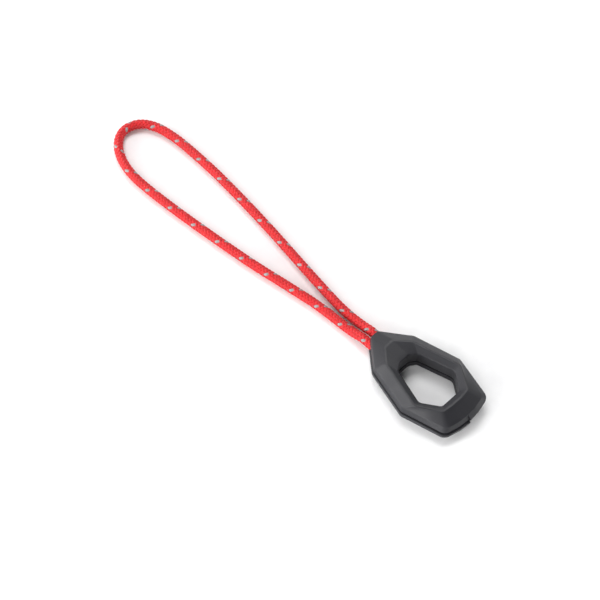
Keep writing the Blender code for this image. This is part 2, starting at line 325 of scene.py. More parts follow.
def face_outwards(mesh):
    """Turns a closed mesh right side out, by the sign of its volume."""
    points = np.array([vertex.co for vertex in mesh.vertices])
    mesh.calc_loop_triangles()
    corners = points[np.array([triangle.vertices for triangle in mesh.loop_triangles])]
    volume = np.einsum("ij,ij->i", corners[:, 0], np.cross(corners[:, 1], corners[:, 2])).sum()
    if volume < 0:
        mesh.flip_normals()
    return mesh


def evaluated_mesh(source, name):
    """The plain mesh that an object's modifiers make."""
    depsgraph = bpy.context.evaluated_depsgraph_get()
    mesh = bpy.data.meshes.new_from_object(source.evaluated_get(depsgraph))
    mesh.name = name
    return mesh


# ---------------------------------------------------------------- shells


def arc_between(start, corner, end, count):
    """Points on the arc that touches both sides of a corner at start and end."""
    into = (corner - start) / np.maximum(np.linalg.norm(corner - start, axis=-1, keepdims=True), 1e-9)
    out = (end - corner) / np.maximum(np.linalg.norm(end - corner, axis=-1, keepdims=True), 1e-9)
    weight = np.sqrt(np.clip((1 + (into * out).sum(-1, keepdims=True)) / 2, 0, 1))
    points = []
    for t in np.linspace(0, 1, count):
        shares = (1 - t) ** 2, 2 * t * (1 - t) * weight, t ** 2
        points.append((shares[0] * start + shares[1] * corner + shares[2] * end) / sum(shares))
    return points


def fillet_length(previous, corner, following, radius, most=0.45):
    """How far along both sides a fillet of that radius starts, within the sides' own lengths."""
    into, out = corner - previous, following - corner
    lengths = np.linalg.norm(into, axis=-1), np.linalg.norm(out, axis=-1)
    cosine = (into * out).sum(-1) / np.maximum(lengths[0] * lengths[1], 1e-12)
    half_turn = np.arccos(np.clip(cosine, -1, 1)) / 2
    return np.minimum(radius * np.tan(half_turn), most * np.minimum(*lengths))


def outline(half_outline):
    """Points all round an outline that is symmetric about X, its corners rounded."""
    half = np.array(half_outline)
    corners = np.concatenate([half[:, :2], half[::-1, :2] * (1, -1)])
    radii = np.concatenate([half[:, 2], half[::-1, 2]])
    before, after = np.roll(corners, 1, axis=0), np.roll(corners, -1, axis=0)
    reach = np.maximum(fillet_length(before, corners, after, radii), LEAST_CORNER_REACH)[:, None]
    back, on = before - corners, after - corners
    starts = corners + back / np.linalg.norm(back, axis=1, keepdims=True) * reach
    ends = corners + on / np.linalg.norm(on, axis=1, keepdims=True) * reach
    points = []
    for index, corner in enumerate(corners):
        points += arc_between(starts[index], corner, ends[index], ARC_POINTS)
        gap = starts[(index + 1) % len(corners)] - ends[index]
        points += [ends[index] + gap * step / (EDGE_POINTS + 1) for step in range(1, EDGE_POINTS + 1)]
    return np.array(points)


def offset_outline(half_outline, distance):
    """The same outline moved outwards a little, away from its own middle."""
    moved = []
    for x, y, radius in half_outline:
        away = Vector((x - OUTLINE_MIDDLE[0], y - OUTLINE_MIDDLE[1])).normalized() * distance
        moved.append((x + away.x, max(y + away.y, CENTRE_LINE_MARGIN), radius))
    return tuple(moved)


def loop_at(half_outline, height, nose_height=None):
    """An outline at a height; the nose may have a height of its own."""
    flat = outline(half_outline)
    heights = np.full(len(flat), float(height))
    if nose_height is not None:
        per_corner = ARC_POINTS + EDGE_POINTS
        ramp = np.arange(1, EDGE_POINTS + 1) / (EDGE_POINTS + 1)
        heights[:ARC_POINTS] = nose_height
        heights[ARC_POINTS:per_corner] = nose_height + (height - nose_height) * ramp
        heights[-EDGE_POINTS:] = nose_height
        heights[-per_corner:-EDGE_POINTS] = nose_height
        heights[-per_corner - EDGE_POINTS:-per_corner] = height + (nose_height - height) * ramp
    return np.column_stack([flat, heights])


def by_side(left_loop, right_loop):
    """A loop that takes its left half (+Y) from one loop and its right half from another."""
    half = len(left_loop) // 2
    return np.concatenate([left_loop[:half], right_loop[half:]])


def raised_edge(loop):
    """The lower shell's outer edge, raised to narrow the parting groove from the tail forward."""
    share = np.clip((loop[:, 0] - GROOVE_WIDE_X) / (GROOVE_NARROW_X - GROOVE_WIDE_X), 0, 1)
    raised = loop.copy()
    raised[:, 2] += GROOVE_NARROWING * share ** 2 * (3 - 2 * share)
    return raised


def ring_surface(name, loops, radii):
    """A closed ring skinned through loops that go round its section, every edge rounded."""
    loops = np.array(loops)
    rows = []
    for index, radius in enumerate(radii):
        corner = loops[index]
        before, after = loops[index - 1], loops[(index + 1) % len(loops)]
        reach = np.maximum(fillet_length(before, corner, after, radius), LEAST_EDGE_REACH)[:, None]
        back, on = before - corner, after - corner
        start = corner + back / np.maximum(np.linalg.norm(back, axis=1, keepdims=True), 1e-9) * reach
        end = corner + on / np.maximum(np.linalg.norm(on, axis=1, keepdims=True), 1e-9) * reach
        rows.append(arc_between(start, corner, end, FILLET_POINTS))
    grid = []
    for index, fillet in enumerate(rows):
        grid += fillet
        wall_start, wall_end = fillet[-1], rows[(index + 1) % len(rows)][0]
        for step in range(1, WALL_POINTS + 1):
            grid.append(wall_start + (wall_end - wall_start) * step / (WALL_POINTS + 1))
    return face_outwards(mesh_from_grid(name, np.array(grid)))


def upper_surface(settings):
    """Throat wall, ridge, sloping roof, crease, side band and collar; the lip is on the right."""
    crease = loop_at(CREASE_OUTLINE, CREASE_Z, NOSE_CREASE_Z)
    rim = loop_at(RIM_OUTLINE, UPPER_FLOOR_Z)
    lip = loop_at(LIP_OUTLINE, UPPER_FLOOR_Z)
    lip_top = loop_at(LIP_OUTLINE, UPPER_FLOOR_Z + LIP_HEIGHT)
    collar = offset_outline(THROAT_OUTLINE, COLLAR_WIDTH)
    throat, ridge, fold, parting = (
        radius / MM for radius in (
            settings.throat_radius, settings.ridge_radius, settings.crease_radius,
            settings.parting_radius))
    sections = (
        (loop_at(THROAT_OUTLINE, COLLAR_BOTTOM_Z), parting),
        (loop_at(THROAT_OUTLINE, GRIP_TOP_Z - THROAT_EDGE_DROP), throat),
        (loop_at(offset_outline(RIDGE_OUTLINE, -RIDGE_HALF_WIDTH), GRIP_TOP_Z), ridge),
        (loop_at(offset_outline(RIDGE_OUTLINE, RIDGE_HALF_WIDTH), GRIP_TOP_Z), ridge),
        (crease, fold),
        (by_side((crease + rim) / 2, lip_top), parting),
        (by_side(rim, lip), parting),
        (loop_at(collar, UPPER_FLOOR_Z), parting),
        (loop_at(collar, COLLAR_BOTTOM_Z), parting),
    )
    return ring_surface("upper_shell_skin", *zip(*sections))


def lower_surface(settings):
    """The matching half with a flat foot and a rebate for the collar; the lip is on the left."""
    lower_edge = loop_at(LIP_OUTLINE, LOWER_EDGE_Z, NOSE_LOWER_EDGE_Z)
    plain_edge = loop_at(RIM_OUTLINE, LOWER_EDGE_Z, NOSE_LOWER_EDGE_Z)
    rebate = offset_outline(THROAT_OUTLINE, REBATE_WIDTH)
    throat, belly, parting = (
        radius / MM for radius in (
            settings.throat_radius, settings.belly_radius, settings.parting_radius))
    top_edge = by_side(loop_at(LIP_OUTLINE, LOWER_TOP_Z), loop_at(RIM_OUTLINE, LOWER_TOP_Z))
    sections = (
        (loop_at(THROAT_OUTLINE, REBATE_FLOOR_Z), parting),
        (loop_at(rebate, REBATE_FLOOR_Z), parting),
        (loop_at(rebate, LOWER_TOP_Z), parting),
        (raised_edge(top_edge), parting),
        (by_side(lower_edge, plain_edge), belly),
        (loop_at(offset_outline(RIDGE_OUTLINE, FOOT_OUTER_WIDTH), 0.0), belly),
        (loop_at(offset_outline(RIDGE_OUTLINE, -FOOT_INNER_WIDTH), 0.0), belly),
        (loop_at(offset_outline(THROAT_OUTLINE, -LOWER_THROAT_DRAFT), LOWER_THROAT_EDGE_Z), throat),
    )
    return ring_surface("lower_shell_skin", *zip(*sections))


def turned(name, profile, place, along_x=False, segments=48):
    """A closed turned solid: (distance along the axis, radius) points swept round the axis."""
    rings = []
    for travel, radius in profile:
        angles = np.linspace(0, 2 * math.pi, segments, endpoint=False)
        across, up = np.cos(angles) * radius, np.sin(angles) * radius
        axis = np.full(segments, travel)
        rings.append(np.column_stack([axis, across, up] if along_x else [across, up, axis]))
    return face_outwards(mesh_from_grid(name, np.array(rings) + np.array(place), close_rows=False))


def rounded_box(name, low, high, corner, steps=5):
    """A box whose four long edges, along X, are rounded."""
    middle = (np.array(low) + np.array(high)) / 2
    half_y, half_z = (high[1] - low[1]) / 2 - corner, (high[2] - low[2]) / 2 - corner
    section = []
    for quarter, (sign_y, sign_z) in enumerate(((1, 1), (-1, 1), (-1, -1), (1, -1))):
        for step in range(steps):
            angle = math.pi / 2 * (quarter + step / (steps - 1))
            section.append((sign_y * half_y + corner * math.cos(angle),
                            sign_z * half_z + corner * math.sin(angle)))
    rings = [[(x, middle[1] + y, middle[2] + z) for y, z in section] for x in (low[0], high[0])]
    return face_outwards(mesh_from_grid(name, np.array(rings), close_rows=False))


def cord_passage():
    """Two round channels that flare at the mouth, and the stopper's pocket, as cutters."""
    flare = [
        (NOSE_TIP_X - MOUTH_FLARE_LENGTH + MOUTH_FLARE_LENGTH * share,
         CHANNEL_RADIUS + MOUTH_FLARE * share ** 3)
        for share in np.linspace(0, MOUTH_FLARE_OVERRUN, MOUTH_FLARE_RINGS)]
    profile = [(POCKET_X[1] - SHELL_GAP, CHANNEL_RADIUS)] + flare
    channels = [
        turned("channel", profile, (0.0, side * CORD_SPACING / 2, CORD_EXIT_Z), along_x=True)
        for side in (-1, 1)]
    pocket = rounded_box(
        "pocket",
        (POCKET_X[0], -POCKET_WIDTH / 2, CORD_EXIT_Z - POCKET_HEIGHT / 2),
        (POCKET_X[1], POCKET_WIDTH / 2, CORD_EXIT_Z + POCKET_HEIGHT / 2),
        POCKET_CORNER)
    return channels + [pocket]


def at_pegs(name, profile, height):
    """The same turned solid at each peg's place, left and right."""
    return [
        turned(name, profile, (x, side * y, height), segments=32)
        for x, y in PEG_PLACES for side in (1, -1)]


def peg_profile():
    radius = PEG_DIAMETER / 2
    return (
        (-PEG_REACH, radius - PEG_CHAMFER), (PEG_CHAMFER - PEG_REACH, radius), (PEG_ROOT, radius))


def socket_profile():
    radius = SOCKET_DIAMETER / 2
    return (
        (-SOCKET_DEPTH, radius), (-SOCKET_CHAMFER, radius), (0.0, radius + SOCKET_CHAMFER),
        (SOCKET_DEPTH, radius + SOCKET_CHAMFER))


def carve(name, skin, operations):
    """The skin after its boolean operations, shaded smooth but for its sharp edges."""
    body = link_object(name + "_blank", skin)
    tools = []
    for operation, meshes in operations:
        for mesh in meshes:
            tools.append(link_object(mesh.name, mesh))
            modifier = body.modifiers.new(mesh.name, "BOOLEAN")
            modifier.operation = operation
            modifier.solver = "EXACT"
            modifier.object = tools[-1]
    mesh = evaluated_mesh(body, name)
    for used in (body, *tools):
        bpy.data.objects.remove(used, do_unlink=True)
    mesh.shade_smooth()
    mesh.set_sharp_from_angle(angle=math.radians(SHARP_EDGE_ANGLE))
    return link_object(name, mesh)


def moulded_plastic(settings):
    """Soft-touch polypropylene, injection moulded in a spark-eroded tool.

    The tool leaves a fine even grain that scatters the light, so the shell is matt with a broad
    dull sheen; handling burnishes it a little in patches.
    """
    material, tree, output = new_material("moulded_charcoal_polypropylene")
    place = add_node(tree, "ShaderNodeTexCoord").outputs["Object"]
    grain = add_node(tree, "ShaderNodeTexNoise", None, {
        "Vector": place, "Scale": 1 / settings.grain_size, "Detail": 2.0, "Roughness": 0.6})
    # Burnished patches are a few millimetres across.
    patches = add_node(tree, "ShaderNodeTexNoise", None, {
        "Vector": place, "Scale": 1 / 0.004, "Detail": 3.0, "Roughness": 0.55})
    tone = add_node(tree, "ShaderNodeMix", {"data_type": "RGBA"}, {
        0: patches.outputs["Fac"], 6: linear(settings.colour),
        7: tuple(c * 1.12 for c in linear(settings.colour)[:3]) + (1.0,)})
    gloss = add_node(tree, "ShaderNodeMapRange", None, {
        "Value": patches.outputs["Fac"], "From Min": 0.3, "From Max": 0.7,
        "To Min": settings.roughness - 0.04, "To Max": settings.roughness + 0.05})
    bump = add_node(tree, "ShaderNodeBump", None, {
        "Height": grain.outputs["Fac"], "Strength": 0.35, "Distance": 0.00002})
    shader = add_node(tree, "ShaderNodeBsdfPrincipled", None, {
        "Base Color": tone.outputs[2], "Roughness": gloss.outputs["Result"], "IOR": 1.49,
        "Normal": bump.outputs["Normal"]})
    tree.links.new(shader.outputs["BSDF"], output.inputs["Surface"])
    return material


def add_upper_shell(settings, material):
    """The cover: it carries the pegs and one half of the cord's channels."""
    shell = carve("grip_cover", upper_surface(settings), (
        ("DIFFERENCE", cord_passage()), ("UNION", at_pegs("peg", peg_profile(), UPPER_FLOOR_Z))))
    shell.data.materials.append(material)
    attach(shell, "cover")
    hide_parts("upper_shell")


def add_lower_shell(settings, material):
    """The base: it lies on its foot and carries the sockets."""
    shell = carve("grip_base", lower_surface(settings), (
        ("DIFFERENCE", cord_passage() + at_pegs("socket", socket_profile(), LOWER_TOP_Z)),))
    shell.data.materials.append(material)
    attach(shell, "base")
    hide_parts("lower_shell")


# ---------------------------------------------------------------- stopper


def melted_polyester():
    """Cord ends melted together and pressed: darker than the yarn, glossy, a little scorched."""
    material, tree, output = new_material("melted_polyester")
    place = add_node(tree, "ShaderNodeTexCoord").outputs["Object"]
    flow = add_node(tree, "ShaderNodeTexNoise", None, {
        "Vector": place, "Scale": 1 / 0.0009, "Detail": 4.0, "Distortion": 1.2})
    tone = add_node(tree, "ShaderNodeMix", {"data_type": "RGBA"}, {
        0: flow.outputs["Fac"], 6: linear("5E0E10"), 7: linear("B41E22")})
    bump = add_node(tree, "ShaderNodeBump", None, {
        "Height": flow.outputs["Fac"], "Strength": 0.5, "Distance": 0.0001})
    shader = add_node(tree, "ShaderNodeBsdfPrincipled", None, {
        "Base Color": tone.outputs[2], "Roughness": 0.3, "IOR": 1.57,
        "Normal": bump.outputs["Normal"]})
    tree.links.new(shader.outputs["BSDF"], output.inputs["Surface"])
    return material


def add_stopper():
    """A pressed bead: a box pulled towards an ellipsoid, its surface left slightly lumpy."""
    low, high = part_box("end_stopper")
    middle, half = np.array((low + high) / 2), np.array((high - low) / 2)
    bpy.ops.mesh.primitive_cube_add(size=2.0)
    stopper = bpy.context.object
    stopper.name = "fused_stopper"
    mesh = stopper.data
    mesh.name = stopper.name
    refine = stopper.modifiers.new("refine", "SUBSURF")
    refine.subdivision_type = "SIMPLE"
    refine.levels = refine.render_levels = STOPPER_LEVELS
    fine = evaluated_mesh(stopper, stopper.name)
    stopper.modifiers.clear()
    stopper.data = fine
    bpy.data.meshes.remove(mesh)
    points = np.array([vertex.co for vertex in fine.vertices])
    squared = (np.abs(points) ** STOPPER_SQUARENESS).sum(1, keepdims=True)
    unit = points / squared ** (1 / STOPPER_SQUARENESS)
    lumps = (np.sin(unit @ (5.0, 3.0, 7.0) + 0.4) * np.sin(unit @ (-3.0, 8.0, 2.0) + 1.9))[:, None]
    shaped = unit * (1 - STOPPER_LUMPS + STOPPER_LUMPS * lumps)
    shaped[:, 2] *= 1 - STOPPER_WAIST * np.exp(-(unit[:, 1] / STOPPER_WAIST_WIDTH) ** 2)
    fine.vertices.foreach_set("co", (middle + shaped * half).astype(np.float32).ravel())
    fine.update()
    fine.shade_smooth()
    fine.materials.append(melted_polyester())
    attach(stopper, "base")
    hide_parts("end_stopper")


# ---------------------------------------------------------------- cord


def cord_path():
    """Evenly spaced points, in metres, down the whole cord from one end in the stopper to the other."""
    tail_xs = np.arange(TAIL_START_X, LOOP_ROUTE[0][0] - TAIL_KNOT_STEP / 2, TAIL_KNOT_STEP)
    half = CORD_SPACING / 2
    right = [(x, -half, CORD_EXIT_Z) for x in tail_xs]
    left = [(x, half, CORD_EXIT_Z) for x in tail_xs[::-1]]
    knots = np.array([*right, *LOOP_ROUTE, *left])
    padded = np.concatenate([[2 * knots[0] - knots[1]], knots, [2 * knots[-1] - knots[-2]]])
    dense = []
    for before, start, end, after in zip(padded, padded[1:], padded[2:], padded[3:]):
        for t in np.linspace(0, 1, STEPS_PER_KNOT, endpoint=False):
            dense.append(0.5 * (
                2 * start + (end - before) * t
                + (2 * before - 5 * start + 4 * end - after) * t ** 2
                + (3 * start - before - 3 * end + after) * t ** 3))
    dense = np.array([*dense, knots[-1]])
    travelled = np.concatenate([[0], np.cumsum(np.linalg.norm(np.diff(dense, axis=0), axis=1))])
    stations = np.linspace(0, travelled[-1], round(travelled[-1] / PATH_STEP) + 1)
    spread = [np.interp(stations, travelled, dense[:, axis]) for axis in range(3)]
    return np.stack(spread, axis=1) * MM


def braid_tree():
    """Geometry nodes that braid flat yarns round a path: as many left-handed as right-handed.

    Each yarn is a copy of the path, pushed out to a helix whose radius rises and falls so that
    it passes over two yarns of the other hand and under the next two.
    """
    tree = bpy.data.node_groups.new("round_braid", "GeometryNodeTree")
    tree.is_modifier = True
    for name, kind in (
            ("Path", "NodeSocketGeometry"), ("Yarns Each Way", "NodeSocketInt"),
            ("Lay", "NodeSocketFloat"), ("End Lay", "NodeSocketFloat"),
            ("Start Turns", "NodeSocketFloat"), ("Yarn Circle Radius", "NodeSocketFloat"),
            ("Weave Depth", "NodeSocketFloat"), ("Yarn Width", "NodeSocketFloat"),
            ("Yarn Thickness", "NodeSocketFloat"), ("Points Per Yarn", "NodeSocketInt"),
            ("Core Radius", "NodeSocketFloat"), ("Turn", "NodeSocketFloat"),
            ("Tracer", "NodeSocketInt"), ("Yarn Material", "NodeSocketMaterial"),
            ("Tracer Material", "NodeSocketMaterial"), ("Core Material", "NodeSocketMaterial")):
        tree.interface.new_socket(name=name, in_out="INPUT", socket_type=kind)
    tree.interface.new_socket(name="Braid", in_out="OUTPUT", socket_type="NodeSocketGeometry")
    given = add_node(tree, "NodeGroupInput").outputs

    # One copy of the path for each yarn, numbered by its carrier.
    yarn_count = add_node(tree, "ShaderNodeMath", {"operation": "MULTIPLY"}, {
        0: given["Yarns Each Way"], 1: 2.0})
    starts = add_node(tree, "GeometryNodePoints", None, {"Count": yarn_count.outputs[0]})
    number = add_node(tree, "GeometryNodeInputIndex")
    point_number = {"data_type": "FLOAT", "domain": "POINT"}
    point_vector = {"data_type": "FLOAT_VECTOR", "domain": "POINT"}
    numbered = add_node(tree, "GeometryNodeStoreNamedAttribute", point_number, {
        "Geometry": starts.outputs[0], "Name": "carrier", "Value": number.outputs[0]})
    copies = add_node(tree, "GeometryNodeInstanceOnPoints", None, {
        "Points": numbered.outputs["Geometry"], "Instance": given["Path"]})
    separate = add_node(tree, "GeometryNodeRealizeInstances", None, {"Geometry": copies.outputs[0]})
    even = add_node(tree, "GeometryNodeResampleCurve", None, {
        "Curve": separate.outputs[0], "Count": given["Points Per Yarn"]})

    # Turns made so far along the cord, the yarn's hand and its place among its own hand.
    carrier = add_node(tree, "GeometryNodeInputNamedAttribute", {"data_type": "FLOAT"}, {
        "Name": "carrier"})
    travelled = add_node(tree, "GeometryNodeSplineParameter")
    # The lay changes evenly along the cord, so its mean up to a point is halfway to the local one.
    first_rate = add_node(tree, "ShaderNodeMath", {"operation": "DIVIDE"}, {0: 1.0, 1: given["Lay"]})
    last_rate = add_node(tree, "ShaderNodeMath", {"operation": "DIVIDE"}, {0: 1.0, 1: given["End Lay"]})
    rate_change = add_node(tree, "ShaderNodeMath", {"operation": "SUBTRACT"}, {
        0: last_rate.outputs[0], 1: first_rate.outputs[0]})
    half_way = add_node(tree, "ShaderNodeMath", {"operation": "MULTIPLY"}, {
        0: travelled.outputs["Factor"], 1: 0.5})
    mean_rate = add_node(tree, "ShaderNodeMath", {"operation": "MULTIPLY_ADD"}, {
        0: rate_change.outputs[0], 1: half_way.outputs[0], 2: first_rate.outputs[0]})
    turns = add_node(tree, "ShaderNodeMath", {"operation": "MULTIPLY_ADD"}, {
        0: travelled.outputs["Length"], 1: mean_rate.outputs[0], 2: given["Start Turns"]})
    last_right_handed = add_node(tree, "ShaderNodeMath", {"operation": "SUBTRACT"}, {
        0: given["Yarns Each Way"], 1: 0.5})
    left_handed = add_node(tree, "ShaderNodeMath", {"operation": "GREATER_THAN"}, {
        0: carrier.outputs[0], 1: last_right_handed.outputs[0]})
    hand = add_node(tree, "ShaderNodeMath", {"operation": "MULTIPLY_ADD"}, {
        0: left_handed.outputs[0], 1: -2.0, 2: 1.0})
    place = add_node(tree, "ShaderNodeMath", {"operation": "MODULO"}, {
        0: carrier.outputs[0], 1: given["Yarns Each Way"]})
    share = add_node(tree, "ShaderNodeMath", {"operation": "DIVIDE"}, {
        0: place.outputs[0], 1: given["Yarns Each Way"]})
    offset = add_node(tree, "ShaderNodeMath", {"operation": "ADD"}, {
        0: share.outputs[0], 1: given["Turn"]})
    whole = add_node(tree, "ShaderNodeMath", {"operation": "MULTIPLY_ADD"}, {
        0: turns.outputs[0], 1: hand.outputs[0], 2: offset.outputs[0]})
    angle = add_node(tree, "ShaderNodeMath", {"operation": "MULTIPLY"}, {
        0: whole.outputs[0], 1: 2 * math.pi})

    # Which way is out from the cord's centre line at that angle.
    tangent = add_node(tree, "GeometryNodeInputTangent")
    normal = add_node(tree, "GeometryNodeInputNormal")
    aside = add_node(tree, "ShaderNodeVectorMath", {"operation": "CROSS_PRODUCT"}, {
        0: tangent.outputs[0], 1: normal.outputs[0]})
    cosine = add_node(tree, "ShaderNodeMath", {"operation": "COSINE"}, {0: angle.outputs[0]})
    sine = add_node(tree, "ShaderNodeMath", {"operation": "SINE"}, {0: angle.outputs[0]})
    along_normal = add_node(tree, "ShaderNodeVectorMath", {"operation": "SCALE"}, {
        0: normal.outputs[0], "Scale": cosine.outputs[0]})
    along_aside = add_node(tree, "ShaderNodeVectorMath", {"operation": "SCALE"}, {
        0: aside.outputs[0], "Scale": sine.outputs[0]})
    outward = add_node(tree, "ShaderNodeVectorMath", {"operation": "ADD"}, {
        0: along_normal.outputs[0], 1: along_aside.outputs[0]})

    # Crossings met so far; four of them are one wave of over, over, under, under.
    crossings = add_node(tree, "ShaderNodeMath", {"operation": "MULTIPLY"}, {
        0: turns.outputs[0], 1: yarn_count.outputs[0]})
    signed = add_node(tree, "ShaderNodeMath", {"operation": "MULTIPLY"}, {
        0: crossings.outputs[0], 1: hand.outputs[0]})
    doubled = add_node(tree, "ShaderNodeMath", {"operation": "MULTIPLY_ADD"}, {
        0: place.outputs[0], 1: 2.0, 2: signed.outputs[0]})
    lead = add_node(tree, "ShaderNodeMath", {"operation": "MULTIPLY_ADD"}, {
        0: left_handed.outputs[0], 1: -2.0, 2: -0.5})
    phase = add_node(tree, "ShaderNodeMath", {"operation": "ADD"}, {
        0: doubled.outputs[0], 1: lead.outputs[0]})
    wave_angle = add_node(tree, "ShaderNodeMath", {"operation": "MULTIPLY"}, {
        0: phase.outputs[0], 1: math.pi / 2})
    wave = add_node(tree, "ShaderNodeMath", {"operation": "COSINE"}, {0: wave_angle.outputs[0]})
    radius = add_node(tree, "ShaderNodeMath", {"operation": "MULTIPLY_ADD"}, {
        0: wave.outputs[0], 1: given["Weave Depth"], 2: given["Yarn Circle Radius"]})
    shift = add_node(tree, "ShaderNodeVectorMath", {"operation": "SCALE"}, {
        0: outward.outputs[0], "Scale": radius.outputs[0]})

    # Keep what the path said before its points move.
    with_out = add_node(tree, "GeometryNodeStoreNamedAttribute", point_vector, {
        "Geometry": even.outputs[0], "Name": "outward", "Value": outward.outputs[0]})
    with_length = add_node(tree, "GeometryNodeStoreNamedAttribute", point_number, {
        "Geometry": with_out.outputs["Geometry"], "Name": "along_yarn",
        "Value": travelled.outputs["Length"]})
    helix = add_node(tree, "GeometryNodeSetPosition", None, {
        "Geometry": with_length.outputs["Geometry"], "Offset": shift.outputs[0]})
    kept_out = add_node(tree, "GeometryNodeInputNamedAttribute", {"data_type": "FLOAT_VECTOR"}, {
        "Name": "outward"})
    facing = add_node(tree, "GeometryNodeSetCurveNormal", {"mode": "FREE"}, {
        "Curve": helix.outputs[0], "Normal": kept_out.outputs[0]})

    # A flat yarn's section, with a coordinate across it for the filaments.
    circle = add_node(tree, "GeometryNodeCurvePrimitiveCircle", None, {"Resolution": 6, "Radius": 0.5})
    around = add_node(tree, "GeometryNodeSplineParameter")
    marked = add_node(tree, "GeometryNodeStoreNamedAttribute", point_number, {
        "Geometry": circle.outputs[0], "Name": "across_yarn", "Value": around.outputs["Factor"]})
    flat_size = add_node(tree, "ShaderNodeCombineXYZ", None, {
        0: given["Yarn Thickness"], 1: given["Yarn Width"], 2: 1.0})
    # A sixth of half a turn lays one of the section's six sides outwards.
    flat_side_out = add_node(tree, "GeometryNodeTransform", None, {
        "Geometry": marked.outputs["Geometry"], "Rotation": (0.0, 0.0, math.pi / 6)})
    section = add_node(tree, "GeometryNodeTransform", None, {
        "Geometry": flat_side_out.outputs[0], "Scale": flat_size.outputs[0]})
    yarns = add_node(tree, "GeometryNodeCurveToMesh", None, {
        "Curve": facing.outputs[0], "Profile Curve": section.outputs[0], "Fill Caps": True})
    coloured = add_node(tree, "GeometryNodeSetMaterial", None, {
        "Geometry": yarns.outputs[0], "Material": given["Yarn Material"]})
    is_tracer = add_node(tree, "FunctionNodeCompare", {"data_type": "FLOAT", "operation": "EQUAL"}, {
        0: carrier.outputs[0], 1: given["Tracer"], "Epsilon": 0.1})
    traced = add_node(tree, "GeometryNodeSetMaterial", None, {
        "Geometry": coloured.outputs[0], "Selection": is_tracer.outputs[0],
        "Material": given["Tracer Material"]})

    # The core that fills the braid and blocks the view through it; its red, darker than the yarn's, is
    # painted shade in the gaps between the yarns.
    core_section = add_node(tree, "GeometryNodeCurvePrimitiveCircle", None, {
        "Resolution": 12, "Radius": given["Core Radius"]})
    core = add_node(tree, "GeometryNodeCurveToMesh", None, {
        "Curve": given["Path"], "Profile Curve": core_section.outputs[0], "Fill Caps": True})
    dark = add_node(tree, "GeometryNodeSetMaterial", None, {
        "Geometry": core.outputs[0], "Material": given["Core Material"]})
    joined = add_node(tree, "GeometryNodeJoinGeometry")
    tree.links.new(traced.outputs[0], joined.inputs[0])
    tree.links.new(dark.outputs[0], joined.inputs[0])
    smooth = add_node(tree, "GeometryNodeSetShadeSmooth", None, {"Geometry": joined.outputs[0]})
    final = add_node(tree, "GeometryNodeRealizeInstances", None, {"Geometry": smooth.outputs[0]})
    add_node(tree, "NodeGroupOutput", None, {0: final.outputs[0]})
    return tree


def filament_yarn(name, colour, shade, roughness, sheen):
    """Flat multifilament polyester yarn.

    Its filaments lie side by side along the yarn, so it shines in thin streaks, and the dye
    takes a little unevenly along its length.
    """
    material, tree, output = new_material(name)
    along = add_node(tree, "ShaderNodeAttribute", {"attribute_name": "along_yarn"})
    across = add_node(tree, "ShaderNodeAttribute", {"attribute_name": "across_yarn"})
    carrier = add_node(tree, "ShaderNodeAttribute", {"attribute_name": "carrier"})
    # Real filaments are 0.02 mm; about six to a yarn's face is as fine as a render can show.
    streak_place = add_node(tree, "ShaderNodeCombineXYZ", None, {
        0: add_node(tree, "ShaderNodeMath", {"operation": "MULTIPLY"}, {
            0: along.outputs["Fac"], 1: 1 / 0.0012}).outputs[0],
        1: add_node(tree, "ShaderNodeMath", {"operation": "MULTIPLY"}, {
            0: across.outputs["Fac"], 1: 12.0}).outputs[0],
        2: carrier.outputs["Fac"]})
    streaks = add_node(tree, "ShaderNodeTexNoise", None, {
        "Vector": streak_place.outputs[0], "Scale": 1.0, "Detail": 1.0})
    dye_place = add_node(tree, "ShaderNodeCombineXYZ", None, {
        0: add_node(tree, "ShaderNodeMath", {"operation": "MULTIPLY"}, {
            0: along.outputs["Fac"], 1: 1 / 0.006}).outputs[0],
        1: carrier.outputs["Fac"]})
    dye = add_node(tree, "ShaderNodeTexNoise", None, {
        "Vector": dye_place.outputs[0], "Scale": 1.0, "Detail": 2.0})
    mixed = add_node(tree, "ShaderNodeMath", {"operation": "MULTIPLY_ADD"}, {
        0: streaks.outputs["Fac"], 1: 0.6, 2: add_node(tree, "ShaderNodeMath", {
            "operation": "MULTIPLY"}, {0: dye.outputs["Fac"], 1: 0.4}).outputs[0]})
    tone = add_node(tree, "ShaderNodeMapRange", None, {
        "Value": mixed.outputs[0], "From Min": 0.35, "From Max": 0.6})
    shaded = add_node(tree, "ShaderNodeMix", {"data_type": "RGBA"}, {
        0: tone.outputs["Result"], 6: linear(shade), 7: linear(colour)})
    bump = add_node(tree, "ShaderNodeBump", None, {
        "Height": streaks.outputs["Fac"], "Strength": 0.5, "Distance": 0.00003})
    shader = add_node(tree, "ShaderNodeBsdfPrincipled", None, {
        "Base Color": shaded.outputs[2], "Roughness": roughness, "IOR": 1.57,
        "Specular IOR Level": 0.35, "Sheen Weight": sheen, "Sheen Roughness": 0.4,
        "Normal": bump.outputs["Normal"]})
    tree.links.new(shader.outputs["BSDF"], output.inputs["Surface"])
    return material


def set_inputs(modifier, values):
    """Sets a geometry nodes modifier's inputs by their sockets' identifiers."""
    for item in modifier.node_group.interface.items_tree:
        if item.item_type == "SOCKET" and item.in_out == "INPUT" and item.name in values:
            modifier[item.identifier] = values[item.name]


